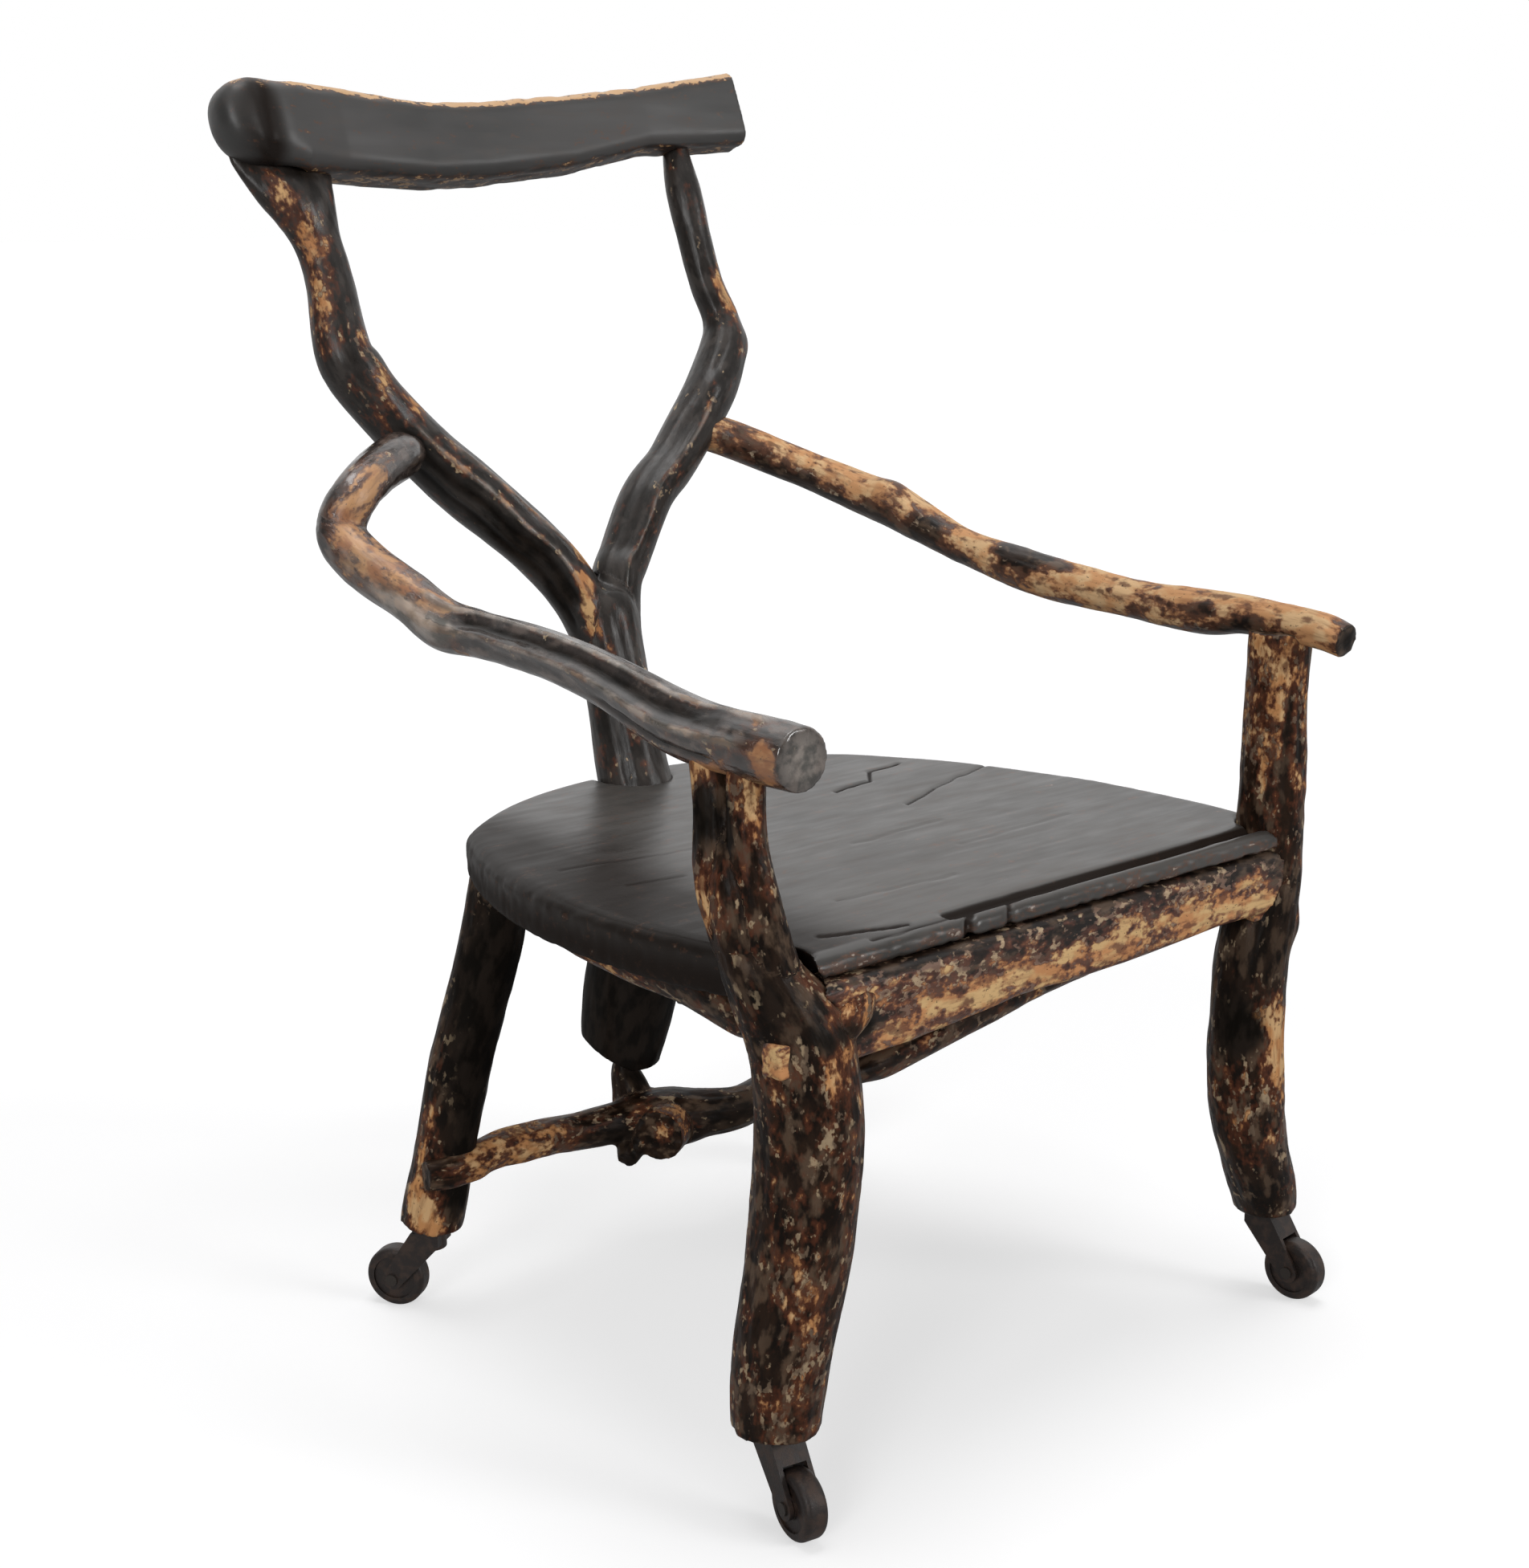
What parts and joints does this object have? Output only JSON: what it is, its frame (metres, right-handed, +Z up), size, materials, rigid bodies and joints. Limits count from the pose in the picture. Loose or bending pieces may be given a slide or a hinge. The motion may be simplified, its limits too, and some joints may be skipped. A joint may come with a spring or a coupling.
{
  "type": "twig armchair",
  "caption": "Low armchair of natural branches: forked back with a crest rail, bent branch arms, D-shaped plank seat and splayed branch legs on swivel casters.",
  "frame": {"origin": "on the floor under the middle of the chair", "axes": "+Z up, -Y the way a sitter faces, +X to the right as seen from in front"},
  "size_m": [0.6209, 0.7488, 0.994],
  "materials": {
    "painted_branch": "near-black paint, worn and flaked",
    "worn_branch": "paint mostly worn to bare tan wood",
    "seat_paint": "satin charcoal paint",
    "crest_paint": "satin charcoal paint",
    "peg_wood": "bare wood",
    "pin_iron": "darkened iron",
    "caster_iron": "dark cast iron, satin",
    "wheel_iron": "dark cast iron, worn tread",
    "axle_steel": "dulled steel"
  },
  "bodies": {
    "frame": {"front_left_leg": "painted_branch", "front_right_leg": "painted_branch", "rear_left_leg": "painted_branch", "rear_right_leg": "painted_branch", "forked_back": "painted_branch", "left_arm": "painted_branch", "right_arm": "worn_branch", "front_rail": "worn_branch", "front_rung": "painted_branch", "left_side_rail": "painted_branch", "right_side_rail": "painted_branch", "rear_stretcher": "worn_branch", "seat_board": "seat_paint", "crest_rail": "crest_paint", "crest_pins": "pin_iron", "arm_pins": "peg_wood", "seat_screws": "pin_iron", "stump_spike": "pin_iron", "caster_plate_front_left": "caster_iron", "caster_plate_front_right": "caster_iron", "caster_plate_rear_left": "caster_iron", "caster_plate_rear_right": "caster_iron"},
    "caster_front_left": {"caster_horn_front_left": "caster_iron", "caster_axle_front_left": "axle_steel"},
    "wheel_front_left": {"caster_wheel_front_left": "wheel_iron"},
    "caster_front_right": {"caster_horn_front_right": "caster_iron", "caster_axle_front_right": "axle_steel"},
    "wheel_front_right": {"caster_wheel_front_right": "wheel_iron"},
    "caster_rear_left": {"caster_horn_rear_left": "caster_iron", "caster_axle_rear_left": "axle_steel"},
    "wheel_rear_left": {"caster_wheel_rear_left": "wheel_iron"},
    "caster_rear_right": {"caster_horn_rear_right": "caster_iron", "caster_axle_rear_right": "axle_steel"},
    "wheel_rear_right": {"caster_wheel_rear_right": "wheel_iron"}
  },
  "joints": [
    {"name": "swivel_front_left", "type": "hinge", "parent": "frame", "child": "caster_front_left", "pos_m": [-0.26, -0.3101, 0.06], "axis": [0, 0, 1], "continuous": true},
    {"name": "spin_front_left", "type": "hinge", "parent": "caster_front_left", "child": "wheel_front_left", "pos_m": [-0.26521, -0.33964, 0.025], "axis": [-0.9848, 0.1736, 0], "continuous": true},
    {"name": "swivel_front_right", "type": "hinge", "parent": "frame", "child": "caster_front_right", "pos_m": [0.284, -0.3091, 0.06], "axis": [0, 0, 1], "continuous": true},
    {"name": "spin_front_right", "type": "hinge", "parent": "caster_front_right", "child": "wheel_front_right", "pos_m": [0.28714, -0.33893, 0.025], "axis": [-0.9945, -0.1045, 0], "continuous": true},
    {"name": "swivel_rear_left", "type": "hinge", "parent": "frame", "child": "caster_rear_left", "pos_m": [-0.26, 0.1159, 0.06], "axis": [0, 0, 1], "continuous": true},
    {"name": "spin_rear_left", "type": "hinge", "parent": "caster_rear_left", "child": "wheel_rear_left", "pos_m": [-0.2759, 0.14134, 0.025], "axis": [0.848, 0.5299, 0], "continuous": true},
    {"name": "swivel_rear_right", "type": "hinge", "parent": "frame", "child": "caster_rear_right", "pos_m": [0.16, 0.1049, 0.06], "axis": [0, 0, 1], "continuous": true},
    {"name": "spin_rear_right", "type": "hinge", "parent": "caster_rear_right", "child": "wheel_rear_right", "pos_m": [0.16927, 0.13344, 0.025], "axis": [0.9511, -0.309, 0], "continuous": true}
  ]
}
